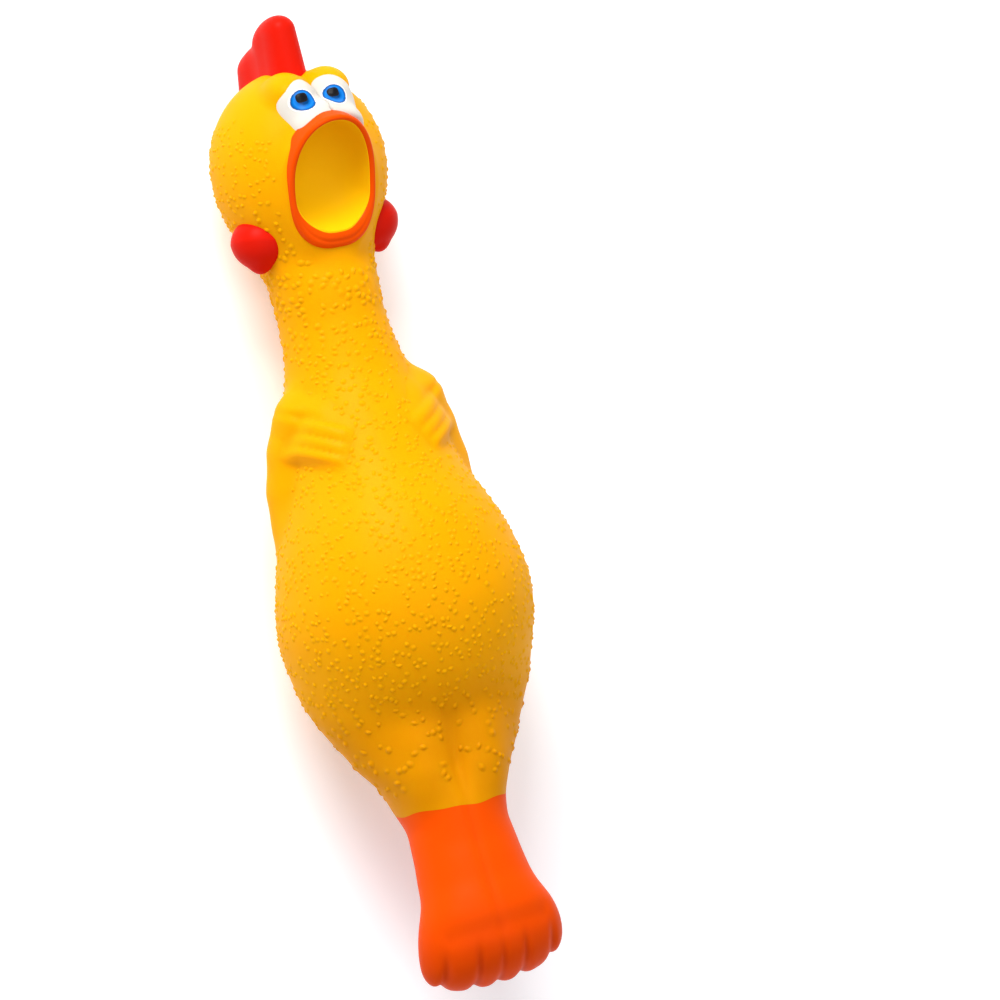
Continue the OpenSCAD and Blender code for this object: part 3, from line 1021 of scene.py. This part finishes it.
class CHICKEN_OT_nubs(bpy.types.Operator):
    """Scatter raised nubs over the torso, neck and cheeks"""

    bl_idname = "chicken.nubs"
    bl_label = "Nubs"

    def execute(self, context):
        tree = nub_tree()
        seed = context.scene.chicken_skin.seed
        bend_into_neck(scatter_nubs(bpy.data.objects["torso_and_wings"], "nubs_torso", tree, seed))
        bend_into_head(scatter_nubs(bpy.data.objects["head_and_throat"], "nubs_head", tree, seed + 1))
        return {"FINISHED"}


# ---------------- comb and wattles


# The comb's bars: each inner end's place from the crown, height and radius, and each outer end's from the tip
COMB = [
    (-8, 5.4, 4.3, -3.7, 5.4, 3.6),
    (-8, 1.6, 4.4, -3.9, 1.6, 3.7),
    (-8, -2.6, 4.4, -5.6, -1.8, 3.9),
    (-9, -8.2, 4.7, -9.0, -6.8, 4.2),
    (-9, -13.0, 5.2, -10.6, -11.2, 4.6),
]
COMB = [(point(0, CROWN + a, AXIS + b), point(0, COMB_TIP + d, AXIS + e), c, f) for a, b, c, d, e, f in COMB]


def comb_field(p):
    """A thick fin with a rounded top, a front edge and a low lobe behind it."""
    return bars(folded(p), COMB, 2.8)


def wattle_field(centre, side):
    """A ball drawn out to a soft point at its lower end."""

    def field(p):
        ball = ellipsoid(p, centre + point(0, 0.4, 0), point(6.4, 5.9, 6.3))
        return union(ball, capsule(p, centre, centre + point(side * 0.9, -5.0, 0.2), 5.0, 1.5), 3.0)

    return field


def finish_on_head(piece, material, stands_for):
    """Dresses a piece of the head and ties it to the head's body."""
    dress(piece, material)
    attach(piece, "head")
    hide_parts(stands_for)


class CHICKEN_OT_comb(bpy.types.Operator):
    """Make the red comb"""

    bl_idname = "chicken.comb"
    bl_label = "Comb"

    def execute(self, context):
        centre = point(0, CROWN - 3.5, AXIS - 2.5)
        piece = blob("comb_red", comb_field, centre, reach=24.0, rings=110, around=120)
        finish_on_head(piece, red_vinyl(), "comb")
        return {"FINISHED"}


class CHICKEN_OT_wattles(bpy.types.Operator):
    """Make the two red wattles"""

    bl_idname = "chicken.wattles"
    bl_label = "Wattles"

    def execute(self, context):
        for side, word in SIDES:
            centre = point(side * 14.5, HEAD[1] - 16.5, AXIS + 1.4)
            field = wattle_field(centre, side)
            piece = blob(f"wattle_drop_{word}", field, centre, reach=12.0, rings=72, around=72)
            finish_on_head(piece, red_vinyl(), f"wattle_{word}")
        return {"FINISHED"}


# ---------------- beak and mouth


def lip_outline(count):
    """Points at even distances round the lip's outer edge, the inward direction at each and the lip's thickness."""
    face = bpy.context.scene.chicken_face
    half_width, half_length = face.beak_width / MM / 2, face.beak_length / MM / 2
    t = np.linspace(0, FULL_TURN, 4000, endpoint=False)
    power = 2 / np.where(np.sin(t) > 0, *BEAK_POWERS)
    u = half_width * np.sign(np.cos(t)) * np.abs(np.cos(t)) ** power
    v = half_length * np.sign(np.sin(t)) * np.abs(np.sin(t)) ** power
    closed = np.stack([np.append(u, u[0]), np.append(v, v[0])], 1)
    length = np.concatenate([[0], np.cumsum(np.linalg.norm(np.diff(closed, axis=0), axis=1))])
    wanted = np.linspace(0, length[-1], count, endpoint=False)
    path = np.stack([np.interp(wanted, length, closed[:, k]) for k in range(2)], 1)
    ahead = np.roll(path, -1, axis=0) - np.roll(path, 1, axis=0)
    inwards = np.stack([-ahead[:, 1], ahead[:, 0]], 1)
    inwards /= np.linalg.norm(inwards, axis=1)[:, None]
    chin = ramp(path[:, 1], -0.30 * half_length, -0.98 * half_length)
    top = ramp(path[:, 1], half_length * 0.3, half_length)
    return path, inwards, chin, 1.15 + 1.75 * chin - 0.1 * top, saddle(path[:, 1], half_length)


# The lip's section: how far inside the outer edge, and how far in front of the mouth's plane
LIP_SECTION = [
    (-1.2, -4.4),
    (-0.7, -2.9),
    (-0.25, -1.6),
    (0.0, -0.8),
    (0.18, -0.28),
    (0.55, 0.0),
    (0.95, -0.08),
    (1.25, -0.45),
    (1.38, -1.2),
    (1.25, -3.0),
    (0.7, -4.6),
]


def smooth_loop(points, count):
    """A smooth closed curve through points."""
    points = np.array(points, float)
    n = len(points)
    t = np.linspace(0, n, count, endpoint=False)
    i = t.astype(int)
    f = (t - i)[:, None]
    a, b, c, d = (points[(i + k) % n] for k in (-1, 0, 1, 2))
    return 0.5 * (2 * b + (c - a) * f + (2 * a - 5 * b + 4 * c - d) * f**2 + (3 * b - a - 3 * c + d) * f**3)


class CHICKEN_OT_beak(bpy.types.Operator):
    """Make the orange lip of the open beak"""

    bl_idname = "chicken.beak"
    bl_label = "Beak lip"

    def execute(self, context):
        path, inwards, chin, thick, base = lip_outline(192)
        rings = []
        for inset, lift in smooth_loop(LIP_SECTION, 44):
            into = np.where(inset > 0, inset * thick, inset * (1 - 0.95 * ramp(path[:, 1], -5, 11)))
            front = hump(inset, 0.62, 0.13) * (1 if lift > -0.6 else 0)
            w = base + lift - 0.22 * chin * front
            rings.append(np.concatenate([path + inwards * into[:, None], w[:, None]], 1))
        rings = twisted(from_mouth(np.stack(rings)))
        piece = new_piece("beak_lip", rings.reshape(-1, 3), grid_faces(*rings.shape[:2], joined=True))
        finish_on_head(piece, orange_vinyl(), "beak_rim")
        return {"FINISHED"}


def mouth_rings(outset, drop):
    """Rings from the edge of the mouth down to its bottom, set outwards and deeper by the given distances."""
    path, inwards, chin, thick, base = lip_outline(144)
    edge = path + inwards * (1.42 * thick - outset)[:, None]
    rings = []
    for share in np.linspace(0, 1, 36)[:-1]:
        sunk = math.sin(share * math.pi / 2)
        narrow = math.sqrt(1 - sunk**2.6)
        low = base * (1 - sunk) - 0.55 - (MOUTH_DEPTH + drop) * sunk
        rings.append(np.concatenate([edge * narrow, low[:, None]], 1))
    return np.stack(rings)


def mouth_shell(name, outset, drop, rise):
    """A closed plug in the shape of the mouth, which stands out in front of it by rise."""
    rings = mouth_rings(outset, drop)
    rings = np.concatenate([rings[::-1], rings[:1] + point(0, 0, rise)])
    return tube_mesh(name, twisted(from_mouth(rings)))


class CHICKEN_OT_mouth(bpy.types.Operator):
    """Make the closed yellow bowl inside the beak"""

    bl_idname = "chicken.mouth"
    bl_label = "Mouth bowl"

    def execute(self, context):
        rings = np.concatenate([mouth_rings(outset=0.9, drop=1.0)[::-1], mouth_rings(outset=0, drop=0)])
        piece = tube_mesh("mouth_bowl", twisted(from_mouth(rings)))
        _, v, w = rings.reshape(-1, 3).T
        # Painted shade on the bowl's upper wall, which lies in shadow
        shade = 0.6 * ramp(w, -1, -11) * ramp(v, -7, 11)  # most in the bowl's upper part
        paint_points(piece, "hollow", np.append(shade, [0.3, 0.3]))
        lining = kept_vinyl("mouth", roughness=0.5, coat=0.01, soft=0.1, grain=0.08)
        finish_on_head(piece, lining, "mouth_cup")
        return {"FINISHED"}


# ---------------- eyes


def eye_field(side):
    """The bulging white of an eye, which runs down to the beak."""

    def field(p):
        q = np.stack([(p[:, 0] - EYE_SHIFT) * side, p[:, 1], p[:, 2]], 1)
        ball = ellipsoid(q, HEAD + point(4.3, 12.5, 11.2), point(5.6, 6.7, 7.3))
        slope = capsule(q, HEAD + point(4.2, 9.0, 11.7), HEAD + point(3.7, 6.2, 18.0), 5.2, 4.8)
        middle = capsule(q, HEAD + point(0, 10.6, 11.6), HEAD + point(0.4, 8.0, 17.2), 4.4, 4.9)
        d = union(union(ball, slope, 2.5), middle, 1.6)
        inside = to_mouth(p)
        bowl = (beak_share(inside, 10.2, 14.4) - 1) * 9.0
        lip = cut((beak_share(inside, 11.7, 16.2) - 1) * 9.0, inside[:, 2] + 3.4, 0.4)
        return cut(cut(d, np.minimum(bowl, lip), 0.6), q[:, 0] - 0.02, 0.3)

    return field


def gaze_frame(side):
    """Centre, normal and two axes of the painted iris."""
    centre = HEAD + point(side * 4.55, 11.5, 11.2)
    up, inwards = math.radians(13), math.radians(4)
    normal = point(-side * math.sin(inwards), math.sin(up), math.cos(up))
    normal /= np.linalg.norm(normal)
    across = np.cross(point(0, 1, 0), normal)
    across /= np.linalg.norm(across)
    return centre, normal, across, np.cross(normal, across)


def paint_disc(name, side, half, power, lift, shift=(0.0, 0.0), rings=10, around=56):
    """A thin disc that lies on the eye's surface, with its own flat coordinates as a UV map."""
    centre, normal, across, up = gaze_frame(side)
    turn = np.linspace(0, FULL_TURN, around, endpoint=False)
    edge = np.stack([np.cos(turn), np.sin(turn)], 1)
    edge = np.sign(edge) * np.abs(edge) ** (2 / power) * half
    shares = np.linspace(0, 1, rings + 1)[1:]
    flat = np.concatenate([edge * share + shift for share in shares] + [np.array([shift])])
    rise = [lift * (1 - max(0, share - 0.86) / 0.14 * 0.55) for share in shares]
    rise = np.append(np.repeat(rise, around), lift)

    def lay(depth):
        start = centre + flat[:, :1] * across + flat[:, 1:] * up - normal
        far = np.tile(normal, (len(flat), 1))
        return cast(eye_field(side), start, far, 12.0) + far * (rise + depth)[:, None]

    count, j = len(flat), np.arange(around)
    k, last = (j + 1) % around, (rings - 1) * around
    top = [[a, d, c, b] for a, b, c, d in grid_faces(rings, around)]
    top += np.stack([np.full(around, count - 1), j, k], 1).tolist()
    bottom = [[count + corner for corner in face[::-1]] for face in top]
    rim = np.stack([last + j, count + last + j, count + last + k, last + k], 1).tolist()
    piece = new_piece(name, twisted(np.concatenate([lay(0.0), lay(-0.6)])), top + bottom + rim)
    share = np.tile((flat - shift) / half * 0.5 + 0.5, (2, 1))
    loops = np.zeros(len(piece.data.loops), np.int32)
    piece.data.loops.foreach_get("vertex_index", loops)
    layer = piece.data.uv_layers.new(name="flat")
    layer.data.foreach_set("uv", share[loops].astype(np.float32).reshape(-1))
    return piece


def eye_paint(name, stops, roughness):
    """Gloss paint whose colour follows the distance from the middle of its UV map."""
    material, tree, shader = new_material(name)
    flat = node(tree, "ShaderNodeUVMap", uv_map="flat").outputs["UV"]
    middle = sums(tree, "ShaderNodeVectorMath", flat, (0.5, 0.5, 0), operation="SUBTRACT")["Vector"]
    away = sums(tree, "ShaderNodeVectorMath", middle, operation="LENGTH")["Value"]
    edge = sums(tree, "ShaderNodeMath", noise(tree, flat, 9.0, 2.0), 0.05, away, operation="MULTIPLY_ADD")[0]
    looks = {"Base Color": bands(tree, edge, stops), "Roughness": roughness, "Specular IOR Level": 0.05}
    fill(shader, {**looks, "Coat Weight": 0.02, "Coat Roughness": 0.2})
    return material


class CHICKEN_OT_eyes(bpy.types.Operator):
    """Make the whites, irises and pupils"""

    bl_idname = "chicken.eyes"
    bl_label = "Eyes"

    def execute(self, context):
        face, tint = context.scene.chicken_face, context.scene.chicken_colours
        finish = {"roughness": 0.36, "coat": 0.12, "soft": 0.05, "grain": 0.05}
        white = vinyl("eye white vinyl", tint.white, tuple(0.82 * c for c in tint.white), **finish)
        blue = tuple(tint.iris)
        dark = tuple(0.38 * c for c in blue)
        light, rim = (0.01, 0.20, 0.68), (0.93, 0.92, 0.9)
        stops = [(0.20, dark), (0.26, blue), (0.36, light), (0.415, blue), (0.46, dark), (0.49, rim)]
        iris = eye_paint("iris paint", stops, 0.28)
        pupil = eye_paint("pupil paint", [(0.3, tuple(tint.pupil)), (0.6, (0.02, 0.02, 0.025))], 0.22)
        half, small = face.iris_width / MM / 2, face.pupil_width / MM / 2
        for side, word in SIDES:
            centre = HEAD + point(EYE_SHIFT + side * 4.4, 12.0, 12.0)
            ball = blob(f"eye_ball_{word}", eye_field(side), centre, reach=18.0, rings=72, around=96)
            disc = paint_disc(f"iris_disc_{word}", side, (half, half), power=2.0, lift=0.10)
            flat = {"power": 3.0, "lift": 0.20, "shift": (-0.2, 0.7), "rings": 5, "around": 40}
            dot = paint_disc(f"pupil_dot_{word}", side, (small, small * 0.88), **flat)
            finish_on_head(ball, white, f"eye_white_{word}")
            finish_on_head(disc, iris, f"iris_{word}")
            finish_on_head(dot, pupil, f"pupil_{word}")
        return {"FINISHED"}


# ---------------- squeaker


def plastic(name, colour, roughness, metal=0.0):
    """Moulded plastic or strip metal with faint streaks."""
    material, tree, shader = new_material(name)
    streaks = noise(tree, node(tree, "ShaderNodeTexCoord").outputs["Object"], 420.0, 4.0)
    looks = {
        "Base Color": bands(tree, streaks, [(0.0, tuple(0.86 * c for c in colour)), (1.0, colour)]),
        "Roughness": spread(tree, streaks, roughness - 0.08, roughness + 0.1),
        "Normal": grained(tree, streaks, 0.12, 0.00005),
        "Metallic": metal,
    }
    fill(shader, looks)
    return material


class CHICKEN_OT_squeaker(bpy.types.Operator):
    """Give the squeaker's case, block and reed their finishes"""

    bl_idname = "chicken.squeaker"
    bl_label = "Squeaker finishes"

    def execute(self, context):
        case = plastic("squeaker plastic", (0.80, 0.79, 0.72), 0.42)
        strip = plastic("reed brass", (0.72, 0.48, 0.16), 0.34, 1.0)
        for name in ("squeaker_cup", "squeaker_cap", "reed_block", "reed_collar"):
            dress(frame["nodes"][name], case)
        dress(frame["nodes"]["reed"], strip)
        return {"FINISHED"}


# ---------------- stage

VIEW_ROLL = 18.5  # the camera stands this far round to the chicken's own right
VIEW_LEAN = 12.0  # the body leans this far to the left in the main view
VIEW_WIDTH = 0.2303  # width of the main view at the object
VIEW_DISTANCE = 1.5
SENSOR = 36
FLOOR_HALF = 2.0
MIDDLE_HEIGHT = 0.0246
AIM_ASIDE, AIM_BACK = 0.0274, 0.0059  # of the camera's aim from the toy's middle


def image_axes():
    """Right, up and towards the camera, for the main view."""
    roll, lean = math.radians(VIEW_ROLL), math.radians(VIEW_LEAN)
    side = point(math.cos(roll), 0, math.sin(roll))
    along = point(0, 1, 0)
    right = math.cos(lean) * side - math.sin(lean) * along
    up = math.sin(lean) * side + math.cos(lean) * along
    return right, up, np.cross(right, up)


def aim(name, data, place, target, up):
    """Hangs a camera or light at place and turns it towards target."""
    back = place - target
    back = back / np.linalg.norm(back)
    right = np.cross(up, back)
    right /= np.linalg.norm(right)
    matrix = np.eye(4)
    matrix[:3] = np.stack([right, np.cross(back, right), back, place], 1)
    thing = bpy.data.objects.new(name, data)
    bpy.context.scene.collection.objects.link(thing)
    thing.matrix_world = Matrix(matrix.tolist())
    return thing


def softbox(name, place, target, size, power, tint=(1, 1, 1)):
    light = bpy.data.lights.new(name, "AREA")
    light.shape = "SQUARE"
    light.size, light.energy, light.color = size, power, tint
    aim(name, light, place, target, point(0.1, 1, 0))


class CHICKEN_OT_stage(bpy.types.Operator):
    """Lay the pale floor, hang the soft lights and place the camera"""

    bl_idname = "chicken.stage"
    bl_label = "Stage"

    def execute(self, context):
        scene = context.scene
        right, up, back = image_axes()
        middle = point(0, (CAD_BOX[0][1] + CAD_BOX[1][1]) / 2, MIDDLE_HEIGHT)
        roll = math.radians(VIEW_ROLL)
        target = middle + AIM_ASIDE * point(math.cos(roll), 0, math.sin(roll)) - point(0, AIM_BACK, 0)
        camera = bpy.data.cameras.new("camera")
        camera.sensor_width = SENSOR
        camera.lens = SENSOR * VIEW_DISTANCE / VIEW_WIDTH
        camera.clip_start = 0.05
        scene.camera = aim("camera", camera, target + back * VIEW_DISTANCE, target, up)

        mesh = bpy.data.meshes.new("floor")
        square = [(-1, -1), (1, -1), (1, 1), (-1, 1)]
        mesh.from_pydata([(x * FLOOR_HALF, y * FLOOR_HALF, 0) for x, y in square], [], [[0, 1, 2, 3]])
        floor = bpy.data.objects.new("floor", mesh)
        scene.collection.objects.link(floor)
        paper, _, shader = new_material("pale paper")
        fill(shader, {"Base Color": (0.92, 0.94, 0.97, 1), "Roughness": 0.9})
        fill(shader, {"Emission Color": (0.9, 0.95, 1, 1), "Emission Strength": 0.24})
        dress(floor, paper)

        left_top = -0.55 * right + 1.05 * up
        softbox("key", left_top * 0.85 + point(0, 0, 0.85), middle, size=0.6, power=15.5, tint=(1, 0.995, 0.98))
        softbox("fill", right * 0.9 - up * 0.5 + point(0, 0, 0.9), middle, size=1.0, power=1.3)
        softbox("top", point(0, 0.1, 1.3), middle, size=1.2, power=3.0)
        world = scene.world or bpy.data.worlds.new("world")
        scene.world = world
        world.use_nodes = True
        fill(world.node_tree.nodes["Background"], {"Color": (1, 1, 1, 1), "Strength": 0.50})
        scene.view_settings.view_transform = "Standard"
        return {"FINISHED"}


class CHICKEN_PT_panel(bpy.types.Panel):
    """Lists the steps in the 3D view's sidebar"""

    bl_label = "Rubber Chicken"
    bl_idname = "CHICKEN_PT_panel"
    bl_space_type = "VIEW_3D"
    bl_region_type = "UI"
    bl_category = "Rubber Chicken"

    def draw(self, context):
        for settings in ("chicken_skin", "chicken_face", "chicken_colours"):
            box = self.layout.box()
            group = getattr(context.scene, settings)
            for name in group.__annotations__:
                box.prop(group, name)
        for step in STEPS:
            self.layout.operator(step.bl_idname)


SETTINGS = {
    "chicken_skin": ChickenSkinSettings,
    "chicken_face": ChickenFaceSettings,
    "chicken_colours": ChickenColourSettings,
}
STEPS = (
    CHICKEN_OT_stage,
    CHICKEN_OT_torso_skin,
    CHICKEN_OT_head_skin,
    CHICKEN_OT_legs,
    CHICKEN_OT_nubs,
    CHICKEN_OT_comb,
    CHICKEN_OT_wattles,
    CHICKEN_OT_beak,
    CHICKEN_OT_mouth,
    CHICKEN_OT_eyes,
    CHICKEN_OT_squeaker,
)


def register():
    for kind in (*SETTINGS.values(), *STEPS, CHICKEN_PT_panel):
        bpy.utils.register_class(kind)
    for name, kind in SETTINGS.items():
        setattr(bpy.types.Scene, name, PointerProperty(type=kind))


def unregister():
    for name in SETTINGS:
        delattr(bpy.types.Scene, name)
    for kind in (CHICKEN_PT_panel, *STEPS[::-1], *list(SETTINGS.values())[::-1]):
        bpy.utils.unregister_class(kind)


def main():
    register()
    for step in STEPS:
        family, name = step.bl_idname.split(".")
        getattr(getattr(bpy.ops, family), name)()
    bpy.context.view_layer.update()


if __name__ == "__main__":
    main()
